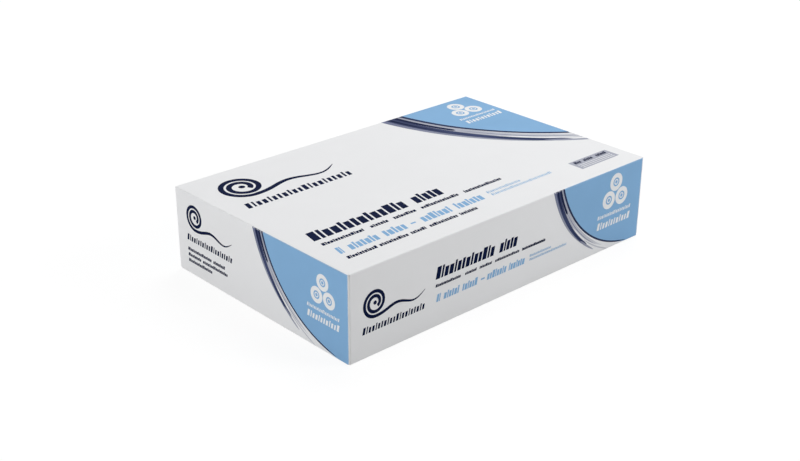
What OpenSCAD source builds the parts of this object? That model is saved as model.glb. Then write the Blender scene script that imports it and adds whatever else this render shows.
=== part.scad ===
// Closed board carton that holds foil refill rolls lying side by side.
// X runs along the rolls, Y from the front at -Y to the back, Z up from the base.

/* [Rolls inside] */
// Length of each roll, which is the foil's width
roll_l = 300; // [200:5:450]
// Outer diameter of each roll
roll_d = 65; // [50:0.5:90]
// Number of rolls lying side by side
roll_count = 3; // [2:1:4]
// Free length at each end of the rolls
end_slack = 2.6; // [0.4:0.2:8]
// Free width across the whole row of rolls
row_slack = 3.4; // [0.4:0.2:12]
// Free height above the rolls
top_slack = 1.9; // [0.3:0.1:6]

/* [Board] */
// Thickness of the board
board_t = 0.8; // [0.5:0.1:1.6]
// Outer radius of each fold
fold_r = 1.2; // [0.8:0.1:2.4]

/* [End closure] */
// How far each side edge of an outer end flap stops short of the long panels' faces
outer_flap_side = 0.5; // [0.2:0.1:3]
// How far each side edge of an inner end flap stops short of the long panels' faces
inner_flap_side = 1.3; // [0.5:0.1:5]
// Height of an outer end flap's free edge above the base
outer_flap_foot = 1.2; // [0.4:0.1:6]
// Radius of the two free corners of an outer end flap
outer_flap_corner = 2; // [0.5:0.5:8]

/* [Glue seam] */
// Height of the back panel's raw edge above the base
seam_lift = 0.4; // [0.2:0.1:1]

/* [Print] */
// Thickness of the printed layer, which lies on the board
ink_t = 0.05; // [0.03:0.01:0.1]
// Bare width left on each side of a fold's crest
crest_gap = 0.05; // [0.02:0.01:0.1]
// Lean of the printed bars from upright, in degrees
bar_lean = 12; // [0:1:25]

/* [Coloured corner on the side panels] */
// Width of the coloured corner as a part of a front or back panel's length
front_corner_part = 0.31; // [0.26:0.01:0.36]
// Width of the coloured corner as a part of an end panel's length
end_corner_part = 0.46; // [0.38:0.01:0.54]
// Turn of the coloured corner's round edge across the panel, in degrees
side_corner_turn = 75; // [50:1:90]
// Width of the fine line along the coloured corner
side_key_w = 0.9; // [0.4:0.1:2]
// Width of the grey stripe
side_grey_w = 2.7; // [1:0.1:5]
// Width of the bare stripes on both sides of the grey one
side_bare_w = 0.6; // [0.3:0.1:2]
// Growth of the dark crescent's radius over its inner edge
side_crescent_grow = 3.7; // [2:0.1:6]
// Shift of the dark crescent's outer edge to the left and up
side_crescent_shift = 4; // [2:0.1:6]

/* [Coloured corner on the top panel] */
// Width of the coloured corner as a part of the panel's length
top_corner_part = 0.257; // [0.2:0.001:0.32]
// Depth of the coloured corner as a part of the panel's depth
top_corner_part_d = 0.62; // [0.5:0.01:0.68]
// Turn of the coloured corner's round edge across the panel, in degrees
top_corner_turn = 44; // [25:1:60]
// Width of the fine line along the coloured corner
top_key_w = 1.7; // [0.8:0.1:3]
// Width of the grey stripe
top_grey_w = 6; // [3:0.1:9]
// Width of the bare stripes on both sides of the grey one
top_bare_w = 1.2; // [0.5:0.1:3]
// Growth of the dark crescent's radius over its inner edge
top_crescent_grow = 4.1; // [3:0.1:8]
// Shift of the dark crescent's outer edge to the left and up
top_crescent_shift = 10.5; // [7:0.5:14]

/* [Hidden] */
$fn = 64;

carton_l = roll_l + 2 * end_slack + 6 * board_t;
carton_d = roll_count * roll_d + row_slack + 2 * board_t;
carton_h = roll_d + top_slack + 2 * board_t;
// Each end closes with three layers: dust flaps, then the inner flap, then the outer flap
dust_l = carton_l - 4 * board_t;
inner_l = carton_l - 2 * board_t;
// Depth below a panel's face at which the print on a fold ends, short of the fold's crest
crest_depth = fold_r - (fold_r + ink_t) * cos(45) - crest_gap;
// How far a cutting shape stands clear of the board
clear = 1;

// Each panel's width and height, and the width and height of its coloured corner
front_panel = [carton_l, carton_h];
end_panel = [carton_d, carton_h];
top_panel = [carton_l, carton_d];
front_corner = [front_corner_part * carton_l, carton_h];
end_corner = [end_corner_part * carton_d, carton_h];
top_corner = [top_corner_part * carton_l, top_corner_part_d * carton_d];

// Disc whose edge is a coloured corner's round edge, from the panel's upper edge to its right edge:
// its radius, how far its centre is over the panel, and how far in from the panel's right edge
function corner_disc(corner, turn) =
    let (chord = norm(corner), r = chord / 2 / sin(turn / 2), far = r * cos(turn / 2) / chord)
    [r, far * corner.x - corner.y / 2, corner.x / 2 - far * corner.y];
front_disc = corner_disc(front_corner, side_corner_turn);
end_disc = corner_disc(end_corner, side_corner_turn);
top_disc = corner_disc(top_corner, top_corner_turn);

// Where the stripes beside the round edge start, and how far all of them reach
side_grey_at = side_key_w + side_bare_w;
side_crescent_at = side_grey_at + side_grey_w + side_bare_w;
side_reach = side_crescent_at + side_crescent_grow + side_crescent_shift;
top_grey_at = top_key_w + top_bare_w;
top_crescent_at = top_grey_at + top_grey_w + top_bare_w;
top_reach = top_crescent_at + top_crescent_grow + top_crescent_shift;

// Rows of printed bars, in hundredths of their panel's width and height. A row is the depth of its
// upper edge below the panel's, the bars' height, and each bar's distance from the left and length.
front_navy_rows = [
    [33.6, 11.1, [[25.8, 19.4], [46.5, 6.5]]],
    [51.1, 2.5, [[25.8, 8.1], [35.2, 3.9], [40, 4.2], [45.2, 8.4], [54.5, 8.4]]]
];
front_blue_rows = [
    [63.6, 7.3, [[26.1, 1.5], [28.4, 5.2], [34.4, 5.2], [42.6, 6.8], [50, 5.8]]],
    [66.7, 1.8, [[40.6, 1.3]]],
    [63.8, 2.2, [[57.4, 7.7]]],
    [68, 2.2, [[57.4, 13.5]]]
];
end_navy_rows = [
    [67.2, 3.2, [[6, 15.5], [22.5, 7.5]]],
    [74.2, 3.2, [[6, 8.5], [15.5, 16]]],
    [81.2, 3.2, [[6, 15.5]]]
];
top_navy_rows = [
    [66.3, 6, [[5.2, 29.4], [36.5, 9.7]]],
    [75.8, 1.5, [[5.2, 12.3], [19.4, 5.5], [26.5, 7.1], [35.2, 12.3], [49.4, 12.9]]],
    [89.3, 1.4, [[5.2, 8.7], [14.5, 8.7], [23.9, 2.3], [26.8, 2.3], [29.7, 9], [39.4, 5.8]]]
];
top_blue_rows = [
    [82.5, 3.8, [[5.5, 1.9], [8.7, 9], [19, 7.1], [30.6, 9.7], [41.6, 9.4]]],
    [84, 0.9, [[27.4, 1.6]]],
    [82.5, 1.2, [[53.2, 11.6]]],
    [84.9, 1.2, [[53.2, 21.3]]]
];
// Marks of an unrolling sheet, in hundredths of the panel: left edge, depth below the panel's upper
// edge, and width
front_emblem = [3.9, 24.8, 18.7];
end_emblem = [6, 10.2, 29];
top_emblem = [5.2, 7.5, 32.3];
// Groups of three roll ends, in parts of their coloured corner's width and height together: the
// radius of an end, the group's middle from the right edge, and its upper end below the panel's
front_group = [0.045, 0.2035, 0.028];
end_group = [0.0393, 0.165, 0.059];
top_group = [0.0377, 0.135, 0.034];
// Small grey panel on the top, in hundredths of the top panel: left edge, depth below the upper edge,
// width and height
note_panel_at = [82, 84.3, 14.4, 7.5];

// Rectangle from corner a to corner b whose corners are rounded by r
module rounded(a, b, r) {
    translate([a.x + r, a.y]) square([b.x - a.x - 2 * r, b.y - a.y]);
    translate([a.x, a.y + r]) square([b.x - a.x, b.y - a.y - 2 * r]);
    for (x = [a.x + r, b.x - r], y = [a.y + r, b.y - r])
        translate([x, y]) circle(r);
}

// Extrusions of a section across the depth and across the length, centred on the origin
module along_y(length) {
    rotate([90, 0, 0]) linear_extrude(length, center = true) children();
}
module along_x(length) {
    rotate([90, 0, 90]) linear_extrude(length, center = true) children();
}

// Section across the rolls: four panels, three of their folds, and the glue seam low at the back,
// where the back panel's raw edge covers the lap that turns up from the base
module sleeve_section(grow) {
    y = carton_d / 2 + grow;
    z = carton_h + grow;
    r = fold_r + grow;
    rounded([-y, -grow], [carton_d / 2 - board_t, z], r);
    translate([0, seam_lift]) square([y, z - r - seam_lift]);
    translate([0, z - r]) square([y - r, r]);
    translate([y - r, z - r]) circle(r);
}

// Sleeve with the dust flaps' folds at its four upright edges
module sleeve(grow) {
    x = dust_l / 2 + grow;
    y = carton_d / 2 + grow;
    intersection() {
        along_x(2 * x) sleeve_section(grow);
        translate([0, 0, -clear]) linear_extrude(carton_h + 2 * clear)
            rounded([-x, -y], [x, y], fold_r + grow);
    }
}

// Base panel with its two end flaps, which lie on the dust flaps
module inner_flaps() {
    x = inner_l / 2;
    along_y(carton_d - 2 * inner_flap_side) {
        rounded([-x, 0], [x, carton_h / 2], fold_r);
        translate([-x, carton_h / 2 - fold_r]) square([2 * x, carton_h / 2 - board_t + fold_r]);
    }
}

// Top panel with its two end flaps, a strip of board that covers the whole of each end
module outer_flaps(grow) {
    x = carton_l / 2 + grow;
    z = carton_h + grow;
    half_w = carton_d / 2 - outer_flap_side;
    intersection() {
        along_y(2 * half_w) difference() {
            union() {
                rounded([-x, z / 2], [x, z], fold_r + grow);
                translate([-x, outer_flap_foot]) square([2 * x, z / 2]);
            }
            translate([-inner_l / 2, 0]) square([inner_l, carton_h - board_t]);
        }
        // Both free corners of each flap are rounded
        along_x(2 * x) {
            rounded([-half_w, outer_flap_foot], [half_w, z], outer_flap_corner);
            translate([-half_w, z / 2]) square([2 * half_w, z / 2]);
        }
    }
}

// The whole closed carton, with every face that is printed moved out by grow
module board(grow) {
    sleeve(grow);
    inner_flaps();
    outer_flaps(grow);
}

// Leaning bar whose lower left corner is at [x, y]
module bar(x, y, length, height) {
    lean = height * tan(bar_lean);
    translate([x, y])
        polygon([[0, 0], [length - lean, 0], [length, height], [lean, height]]);
}

// Rows of bars as listed above
module bar_rows(panel, rows) {
    unit = panel / 100;
    for (row = rows, word = row[2])
        bar(word[0] * unit.x, panel.y - (row[0] + row[1]) * unit.y, word[1] * unit.x, row[1] * unit.y);
}

// Bars end before the coloured corner and its stripes
module clear_of_corner(panel, disc, reach) {
    difference() {
        intersection() {
            square(panel);
            children();
        }
        corner_circle(panel, disc, reach);
    }
}

// Disc that makes the coloured corner's round edge, larger by grow
module corner_circle(panel, disc, grow) {
    translate([panel.x - disc[2], panel.y + disc[1]]) circle(disc[0] + grow, $fn = 180);
}

// Part of a stripe along the coloured corner, from one distance off its edge to another
module stripe(panel, disc, from, to) {
    intersection() {
        square(panel);
        difference() {
            corner_circle(panel, disc, to);
            corner_circle(panel, disc, from);
        }
    }
}

// Dark crescent outside the grey stripe, which thins out along the round edge
module crescent(panel, disc, from, grow, shift) {
    intersection() {
        square(panel);
        difference() {
            translate([-shift, shift]) corner_circle(panel, disc, from + grow);
            corner_circle(panel, disc, from);
        }
    }
}

// Three roll ends, two below and one above, with a thin and a thick bar under them
module roll_group(panel, corner, group) {
    size = corner.x + corner.y;
    r = group[0] * size;
    pitch = 2.1 * r;
    rise = pitch * sin(60);
    bar_w = 5.5 * r;
    thin_h = r / 3;
    thick_h = r * 0.6;
    translate([panel.x - group[1] * size, panel.y - group[2] * size - r - rise]) {
        for (at = [[-pitch / 2, 0], [pitch / 2, 0], [0, rise]])
            translate(at) difference() {
                circle(r);
                circle(r * 0.36);
            }
        bar(-bar_w / 2, -1.5 * r - thin_h, bar_w, thin_h);
        bar(-bar_w / 2, -2.4 * r - thick_h, bar_w, thick_h);
    }
}

// Mark of a roll seen from its end, with its sheet running off below and two short lines over it,
// and a bar as wide as all of it underneath
module emblem(panel, at) {
    width = at[2] * panel.x / 100;
    r = width / 6;
    line = width / 24;
    bar_h = width / 15;
    translate([at.x * panel.x / 100 + r, panel.y - at.y * panel.y / 100 - r]) {
        difference() {
            circle(r);
            circle(r - line);
        }
        circle(r / 3);
        translate([0, -r]) square([width - r, line]);
        translate([r + line, 2 * line - r]) square([width - 3.5 * r, line * 0.75]);
        translate([r + line, 3.75 * line - r]) square([width - 4.5 * r, line * 0.5]);
        bar(-r, -1.7 * r - bar_h, width, bar_h);
    }
}

module corner_blue(panel, disc) {
    intersection() {
        square(panel);
        corner_circle(panel, disc, 0);
    }
}
module side_lines_navy(panel, disc) {
    stripe(panel, disc, 0, side_key_w);
    crescent(panel, disc, side_crescent_at, side_crescent_grow, side_crescent_shift);
}
module side_line_grey(panel, disc) {
    stripe(panel, disc, side_grey_at, side_grey_at + side_grey_w);
}

module front_blue() {
    difference() {
        corner_blue(front_panel, front_disc);
        roll_group(front_panel, front_corner, front_group);
    }
    clear_of_corner(front_panel, front_disc, side_reach) bar_rows(front_panel, front_blue_rows);
}
module front_navy() {
    side_lines_navy(front_panel, front_disc);
    clear_of_corner(front_panel, front_disc, side_reach) {
        emblem(front_panel, front_emblem);
        bar_rows(front_panel, front_navy_rows);
    }
}

module end_blue() {
    difference() {
        corner_blue(end_panel, end_disc);
        roll_group(end_panel, end_corner, end_group);
    }
}
module end_navy() {
    side_lines_navy(end_panel, end_disc);
    clear_of_corner(end_panel, end_disc, side_reach) {
        emblem(end_panel, end_emblem);
        bar_rows(end_panel, end_navy_rows);
    }
}

module top_blue() {
    difference() {
        corner_blue(top_panel, top_disc);
        roll_group(top_panel, top_corner, top_group);
    }
    clear_of_corner(top_panel, top_disc, top_reach) bar_rows(top_panel, top_blue_rows);
}
module top_navy() {
    stripe(top_panel, top_disc, 0, top_key_w);
    crescent(top_panel, top_disc, top_crescent_at, top_crescent_grow, top_crescent_shift);
    clear_of_corner(top_panel, top_disc, top_reach) {
        emblem(top_panel, top_emblem);
        bar_rows(top_panel, top_navy_rows);
    }
}

// Small grey panel with three bare lines in it
module note_panel() {
    unit = top_panel / 100;
    size = [note_panel_at[2] * unit.x, note_panel_at[3] * unit.y];
    margin = size.x / 15;
    line = size.y / 9;
    translate([note_panel_at.x * unit.x, top_panel.y - note_panel_at.y * unit.y - size.y])
        difference() {
            square(size);
            for (i = [0:2])
                translate([margin, (1.35 + 1.95 * i) * line]) square([size.x - 2 * margin, line]);
        }
}
module top_grey() {
    stripe(top_panel, top_disc, top_grey_at, top_grey_at + top_grey_w);
    clear_of_corner(top_panel, top_disc, top_reach) note_panel();
}

// Each flat print is carried through its face of the board, to just short of the folds' crests
module on_front() {
    translate([-carton_l / 2, crest_depth - carton_d / 2, 0]) rotate([90, 0, 0])
        linear_extrude(crest_depth + clear) children();
}
module on_back() {
    rotate([0, 0, 180]) on_front() children();
}
module on_left() {
    translate([crest_depth - carton_l / 2, carton_d / 2, 0]) rotate([90, 0, -90])
        linear_extrude(crest_depth + clear) children();
}
module on_right() {
    rotate([0, 0, 180]) on_left() children();
}
module on_top() {
    translate([-carton_l / 2, -carton_d / 2, carton_h - crest_depth])
        linear_extrude(crest_depth + clear) children();
}

module blue_shapes() {
    on_front() front_blue();
    on_back() corner_blue(front_panel, front_disc);
    on_left() end_blue();
    on_right() corner_blue(end_panel, end_disc);
    on_top() top_blue();
}
module navy_shapes() {
    on_front() front_navy();
    on_back() side_lines_navy(front_panel, front_disc);
    on_left() end_navy();
    on_right() side_lines_navy(end_panel, end_disc);
    on_top() top_navy();
}
module grey_shapes() {
    on_front() side_line_grey(front_panel, front_disc);
    on_back() side_line_grey(front_panel, front_disc);
    on_left() side_line_grey(end_panel, end_disc);
    on_right() side_line_grey(end_panel, end_disc);
    on_top() top_grey();
}

// Printed layer in the shapes given, as thick as the ink
module printed() {
    difference() {
        intersection() {
            board(ink_t);
            children();
        }
        board(0);
    }
}

module carton() { color("whitesmoke") board(0); }
module blue_print() { color([0.49, 0.66, 0.84]) printed() blue_shapes(); }
module navy_print() { color([0.10, 0.15, 0.34]) printed() navy_shapes(); }
module grey_print() { color([0.79, 0.79, 0.81]) printed() grey_shapes(); }

carton();
blue_print();
navy_print();
grey_print();
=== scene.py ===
"""Sealed board carton for foil refill rolls, dressed as printed and varnished board.

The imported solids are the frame. Every face that shows is made here: the glued sleeve, the two layers
of flaps that close each end, the three inks printed on them, and the bare marks left in the blue.
Lengths are millimetres until a mesh is written, which turns them into metres. Print is laid out in
parts of its panel's width and height, measured from the panel's upper left corner.
"""
import logging
import math
from dataclasses import dataclass, replace
from enum import Enum
from functools import cached_property
from typing import Callable, Iterable, Mapping, Sequence

import bpy
import numpy as np
from mathutils import Matrix, Vector

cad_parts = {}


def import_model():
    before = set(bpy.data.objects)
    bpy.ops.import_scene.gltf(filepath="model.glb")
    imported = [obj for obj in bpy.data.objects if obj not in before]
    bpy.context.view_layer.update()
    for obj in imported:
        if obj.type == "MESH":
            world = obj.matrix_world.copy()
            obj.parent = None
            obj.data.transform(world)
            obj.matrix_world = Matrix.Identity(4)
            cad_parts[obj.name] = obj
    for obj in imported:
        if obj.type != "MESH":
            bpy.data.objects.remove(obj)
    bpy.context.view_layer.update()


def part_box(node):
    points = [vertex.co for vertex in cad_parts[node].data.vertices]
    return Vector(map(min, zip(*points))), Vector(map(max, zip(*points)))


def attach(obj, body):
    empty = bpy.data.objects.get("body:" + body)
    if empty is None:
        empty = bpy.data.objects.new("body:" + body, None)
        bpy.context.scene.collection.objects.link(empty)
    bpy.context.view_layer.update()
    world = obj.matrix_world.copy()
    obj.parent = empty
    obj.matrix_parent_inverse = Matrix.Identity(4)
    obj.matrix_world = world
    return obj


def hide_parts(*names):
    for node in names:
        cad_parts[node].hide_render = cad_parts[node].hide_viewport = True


LOG = logging.getLogger("foil_carton")
METRES = 0.001
# Turn at which the print on a fold stops, short of the fold's crest, and the bare width beside it; the bare
# hairline left along each crest is partly a worn white fold and partly a painted highlight
CREST_TURN = math.radians(45.0)
CREST_GAP = 0.05
# Longest steps of a surface: over the board's slow waves, along a printed arc and on a fold
STEP = 4.5
ARC_STEP = 2.0
FOLD_STEP = 0.22
# First step from a fold or a raw edge onto a flat stretch
EDGE_STEP = 0.3
# Number of places at which a law of steps is read
FINE = 6001
# Width under which a mark or a stretch of board ends
SLIVER = 0.02
# Angle between faces from which their edge is sharp
SHARP_TURN = math.radians(32.0)
# How far each streak lies over the one before, so that no two of them share a face
OVERPRINT = 0.0015

Grid = np.ndarray
Curve = Callable[[np.ndarray], np.ndarray]


class Side(Enum):
    """Faces of the carton, named by someone who stands in front of it."""

    FRONT = "front"
    BACK = "back"
    LEFT = "left"
    RIGHT = "right"
    TOP = "top"
    BASE = "base"


class Layer(Enum):
    """Layers of board at each end."""

    COVER = "cover"
    UNDER = "under"


class Ink(Enum):
    """What the print is made of; BARE is board that shows through the blue."""

    BLUE = "blue"
    NAVY = "navy"
    SILVER = "silver"
    BARE = "bare"


# Closed shells on two-parameter grids


@dataclass
class Shell:
    """A closed surface in millimetres, of quads and of caps, which are arrays of triangles.

    Each quad has a material index, and pale says for each point how far its ink thins out.
    """

    points: np.ndarray
    quads: np.ndarray
    quad_finish: np.ndarray
    caps: Sequence[np.ndarray] = ()
    pale: np.ndarray | float = 0.0

    def volume(self) -> float:
        """Volume inside, as a sixth of the summed box products of its triangles' corners.

        Returns:
            The volume, below nought where the faces point inwards.
        """
        triangles = np.concatenate([self.quads[:, [0, 1, 2]], self.quads[:, [0, 2, 3]], *self.caps])
        a, b, c = (self.points[triangles[:, i]] for i in range(3))
        return float(np.einsum("ij,ij->i", a, np.cross(b, c)).sum() / 6.0)

    def outward(self) -> "Shell":
        """Turns the faces outwards where they point inwards.

        Returns:
            The shell.
        """
        if self.volume() >= 0.0:
            return self
        return replace(self, quads=self.quads[:, ::-1], caps=[cap[:, ::-1] for cap in self.caps])


def sheet_quads(rows: int, cols: int, around: bool) -> np.ndarray:
    """Lists the quads of a grid of points.

    Args:
        rows: Number of points along the first parameter.
        cols: Number of points along the second parameter.
        around: Whether the second parameter runs round and meets itself.

    Returns:
        Indices of each quad's corners, one quad to a row.
    """
    index = np.arange(rows * cols).reshape(rows, cols)
    if around:
        index = np.concatenate([index, index[:, :1]], axis=1)
    return np.stack([index[:-1, :-1], index[1:, :-1], index[1:, 1:], index[:-1, 1:]], axis=-1).reshape(-1, 4)


def slab(outer: Grid, inner: Grid, around: bool = False, edge_finish: int = 0,
         pale: Grid | float = 0.0) -> Shell:
    """Closes an outer and an inner surface into one thin shell with walls along their rims.

    Args:
        outer: Points of the outer surface, as rows by columns by three.
        inner: Points of the inner surface, on the same grid.
        around: Whether the second parameter runs round and meets itself.
        edge_finish: Material index of the walls.
        pale: How far the ink thins out, on the same grid or everywhere.

    Returns:
        The closed shell, facing outwards.
    """
    rows, cols = outer.shape[:2]
    count = rows * cols
    face = sheet_quads(rows, cols, around)
    index = np.arange(count).reshape(rows, cols)
    if around:
        rims = [np.append(index[0], index[0, 0]), np.append(index[-1], index[-1, 0])[::-1]]
    else:
        rims = [np.concatenate([index[0], index[1:, -1], index[-1, -2::-1], index[-2::-1, 0]])]
    walls = [np.stack([rim[:-1], rim[1:], rim[1:] + count, rim[:-1] + count], axis=1) for rim in rims]
    quads = np.concatenate([face, face[:, ::-1] + count, *walls])
    finish = np.zeros(len(quads), dtype=np.int32)
    finish[2 * len(face):] = edge_finish
    points = np.concatenate([outer.reshape(-1, 3), inner.reshape(-1, 3)])
    thinned = np.tile(np.broadcast_to(pale, (rows, cols)).ravel(), 2)
    return Shell(points, quads, finish, pale=thinned).outward()


def write_piece(name: str, shells: Iterable[Shell], finishes: Sequence["Finish"]) -> bpy.types.Object:
    """Joins shells into one object at the origin, in metres, smooth but for its true edges.

    Args:
        name: The piece's name.
        shells: The closed shells that it is made of.
        finishes: Its finishes, in the order of the shells' material indices.

    Returns:
        The object, linked to the scene.
    """
    points, faces, finish, pale, base = [], [], [], [], 0
    for shell in shells:
        points.append(shell.points)
        pale.append(np.broadcast_to(shell.pale, len(shell.points)))
        rows = [row for part in (shell.quads, *shell.caps) for row in (part + base).tolist()]
        finish.append(np.pad(shell.quad_finish, (0, len(rows) - len(shell.quads))))
        faces += rows
        base += len(shell.points)
    mesh = bpy.data.meshes.new(name)
    mesh.from_pydata(np.concatenate(points) * METRES, [], faces)
    mesh.polygons.foreach_set("material_index", np.concatenate(finish))
    mesh.polygons.foreach_set("use_smooth", np.ones(len(faces), dtype=bool))
    mesh.set_sharp_from_angle(angle=SHARP_TURN)
    mesh.attributes.new("pale", "FLOAT", "POINT").data.foreach_set("value", np.concatenate(pale))
    for each in finishes:
        mesh.materials.append(each.material())
    mesh.update()
    piece = bpy.data.objects.new(name, mesh)
    bpy.context.scene.collection.objects.link(piece)
    return piece


# The carton's panels


@dataclass(frozen=True)
class Edge:
    """One edge of a panel: where its outer plane lies, and its fold's outer radius, 0 if it is raw."""

    inset: float = 0.0
    radius: float = 0.0

    @property
    def crest(self) -> float:
        """Distance inside the panel's side at which the print stops."""
        return self.inset + CREST_GAP + self.radius * (1.0 - math.sin(CREST_TURN))


@dataclass(frozen=True)
class Waves:
    """Slow waves that a creased and glued board panel keeps.

    height is the waves' height, long and short their lengths, and border the width along each
    edge in which they die out.
    """

    height: float = 0.05
    long: float = 118.0
    short: float = 71.0
    border: float = 16.0

    def rise(self, across: Grid, down: Grid, width: float, depth: float, phase: float) -> Grid:
        """Rise of the panel over its plane: crossed sines, times a smooth step from each edge.

        Args:
            across: Distances from the panel's left edge.
            down: Distances from its upper edge.
            width: The panel's width.
            depth: The panel's height.
            phase: Shift of the waves, so that no two panels are alike.

        Returns:
            Heights over the plane.
        """
        def fade(at: Grid, span: float) -> Grid:
            """Smooth step n * n * (3 - 2 n) from both ends of a span."""
            near = np.clip(np.minimum(at, span - at) / min(self.border, span / 2.0), 0.0, 1.0)
            return near * near * (3.0 - 2.0 * near)

        turn = 2.0 * math.pi
        crossed = np.sin(turn * across / self.long + phase) * np.cos(turn * down / self.short - phase)
        slanted = 0.6 * np.sin(turn * (across + 0.7 * down) / (self.long + self.short) + 2.1 * phase)
        return self.height * fade(across, width) * fade(down, depth) * (crossed + slanted)


@dataclass(frozen=True)
class Panel:
    """A flat panel with its folds, on which a point is given by its way across and down."""

    origin: tuple[float, float, float]
    across: tuple[float, float, float]
    down: tuple[float, float, float]
    width: float
    height: float
    left: Edge
    right: Edge
    upper: Edge
    lower: Edge
    phase: float
    lower_corner: float = 0.0
    waves: Waves = Waves()

    @cached_property
    def outward(self) -> np.ndarray:
        """Direction away from the carton, square to the other two."""
        return np.cross(self.down, self.across)

    def _turn(self, inside: Grid, edge: Edge) -> Grid:
        """Angle by which the board has turned away beside an edge: arcsin(1 - depth / radius).

        Args:
            inside: Distances from the panel's side.
            edge: The edge on that side.

        Returns:
            Angles, which are nought off the fold.
        """
        if not edge.radius:
            return np.zeros_like(inside)
        return np.arcsin(np.clip(1.0 - (inside - edge.inset) / edge.radius, 0.0, 1.0))

    def place(self, across: Grid, down: Grid, lift: float = 0.0) -> Grid:
        """Points on the board's outer surface, or lifted off it.

        On a fold the surface follows a round of the fold's radius: it sinks below the panel's
        plane by radius * (1 - cos turn). Where two folds meet, the steeper one holds. Opposite
        folds of a panel have the same radius.

        Args:
            across: Distances from the panel's left edge.
            down: Distances from its upper edge, of a shape that broadcasts with across.
            lift: Height over the board's surface, along the surface's normal.

        Returns:
            Points in the carton's frame, with three numbers on the last axis.
        """
        across, down = np.broadcast_arrays(np.asarray(across, float), np.asarray(down, float))
        side = self._turn(self.width - across, self.right) - self._turn(across, self.left)
        rise = self._turn(self.height - down, self.lower) - self._turn(down, self.upper)
        steeper = np.abs(side) > np.abs(rise)
        side, rise = np.where(steeper, side, 0.0), np.where(steeper, 0.0, rise)
        radius = np.where(steeper, self.left.radius, self.upper.radius)
        sunk = radius * (1.0 - np.cos(side + rise))
        wave = self.waves.rise(across, down, self.width, self.height, self.phase)
        flat = across + lift * np.sin(side)
        drop = down + lift * np.sin(rise)
        off = wave - sunk + lift * np.cos(side + rise)
        return (np.array(self.origin) + flat[..., None] * np.array(self.across)
                + drop[..., None] * np.array(self.down) + off[..., None] * self.outward)

    def step(self, across: Grid, down: Grid) -> Grid:
        """Longest step that a surface may take: short where the board turns away on a fold."""
        turn = (self._turn(across, self.left) + self._turn(self.width - across, self.right)
                + self._turn(down, self.upper) + self._turn(self.height - down, self.lower))
        return np.where(turn > 0.0, FOLD_STEP, STEP)

    def limits(self) -> tuple[float, float, float, float]:
        """Left, upper, right and lower limit of the print, at crests of folds and at raw edges."""
        return (self.left.crest, self.upper.crest,
                self.width - self.right.crest, self.height - self.lower.crest)


def fold_steps(turn: float, radius: float, count: int = 7) -> np.ndarray:
    """Distances inside an edge's plane that step evenly round its fold, from a turn to flat."""
    return radius * (1.0 - np.sin(np.linspace(turn, 0.0, count)))


def spread(start: float, end: float, step: float = STEP) -> np.ndarray:
    """Even places from start to end, no further apart than step."""
    return np.linspace(start, end, max(2, math.ceil(abs(end - start) / step) + 1))


def paced(start: float, end: float, step_at: Curve) -> np.ndarray:
    """Places from start to end whose steps follow a law of their own.

    Args:
        start: First place.
        end: Last place.
        step_at: Gives the longest step allowed at each place.

    Returns:
        The places at which the integral of 1 / step_at takes even values.
    """
    at = np.linspace(start, end, FINE)
    density = 1.0 / step_at(at)
    count = np.concatenate([[0.0], np.cumsum((density[1:] + density[:-1]) / 2.0 * np.diff(at))])
    return np.interp(np.linspace(0.0, count[-1], max(2, math.ceil(count[-1]) + 1)), count, at)


@dataclass(frozen=True)
class Carton:
    """Sizes of the sealed carton, with the panels that they give.

    The left end's flaps are glued all but flush with the front panel, and the right end's a little
    behind it.
    """

    length: float
    depth: float
    height: float
    board: float = 0.8
    fold_radius: float = 1.0
    upright_radius: float = 0.3
    left_flap_side: float = 0.1
    right_flap_side: float = 0.8
    cover_foot: float = 0.6
    cover_corner: float = 1.2
    under_short: float = 1.8
    seam_lift: float = 0.4

    @classmethod
    def from_box(cls, low: Vector, high: Vector) -> "Carton":
        """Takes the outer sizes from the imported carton's lowest and highest corners, in metres."""
        return cls(*(round((b - a) / METRES, 4) for a, b in zip(low, high)))

    def flap_side(self, side: Side, layer: Layer = Layer.COVER) -> float:
        """How far an end flap's raw sides stop short of the carton's front and back."""
        short = self.left_flap_side if side is Side.LEFT else self.right_flap_side
        return short + (0.1 if layer is Layer.UNDER else 0.0)

    @property
    def sleeve_half(self) -> float:
        """Half the sleeve's length: two layers of flaps lie over it at each end."""
        return self.length / 2.0 - 2.0 * self.board

    def panel(self, side: Side, layer: Layer = Layer.COVER) -> Panel:
        """The panel on one side; at the ends, the cover flap's or the under flap's.

        Args:
            side: Face of the carton.
            layer: Which layer of board, at an end.

        Returns:
            The panel, with its raw edges and folds where the blank has them.
        """
        x, y, z = self.length / 2.0, self.depth / 2.0, self.height
        fold = Edge(radius=self.fold_radius)
        if side in (Side.TOP, Side.BASE):
            flat = dict(across=(1, 0, 0), width=self.length, height=self.depth, upper=fold)
            if side is Side.TOP:
                return Panel((-x, y, z), down=(0, -1, 0), left=fold, right=fold, lower=fold, phase=4.0,
                             **flat)
            under = Edge(self.board, self.fold_radius)
            return Panel((-x, -y, 0.0), down=(0, 1, 0), left=under, right=under, lower=under, phase=0.0,
                         waves=Waves(0.0), **flat)
        if side in (Side.FRONT, Side.BACK):
            upright = Edge(2.0 * self.board, self.upright_radius)
            long = dict(down=(0, 0, -1), width=self.length, height=z, left=upright, right=upright,
                        upper=fold)
            if side is Side.FRONT:
                return Panel((-x, -y, z), (1, 0, 0), lower=fold, phase=0.4, **long)
            return Panel((x, y, z), (-1, 0, 0), lower=Edge(self.seam_lift), phase=1.3, **long)
        raw, foot, corner = Edge(self.flap_side(side, layer)), Edge(self.cover_foot), self.cover_corner
        if layer is Layer.UNDER:
            x, foot, corner = x - self.board, fold, 0.0
        short = dict(down=(0, 0, -1), width=self.depth, height=z, left=raw, right=raw, upper=fold,
                     lower=foot, lower_corner=corner)
        if side is Side.LEFT:
            return Panel((-x, y, z), (0, -1, 0), phase=2.2, **short)
        return Panel((x, -y, z), (0, 1, 0), phase=3.1, **short)


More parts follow.
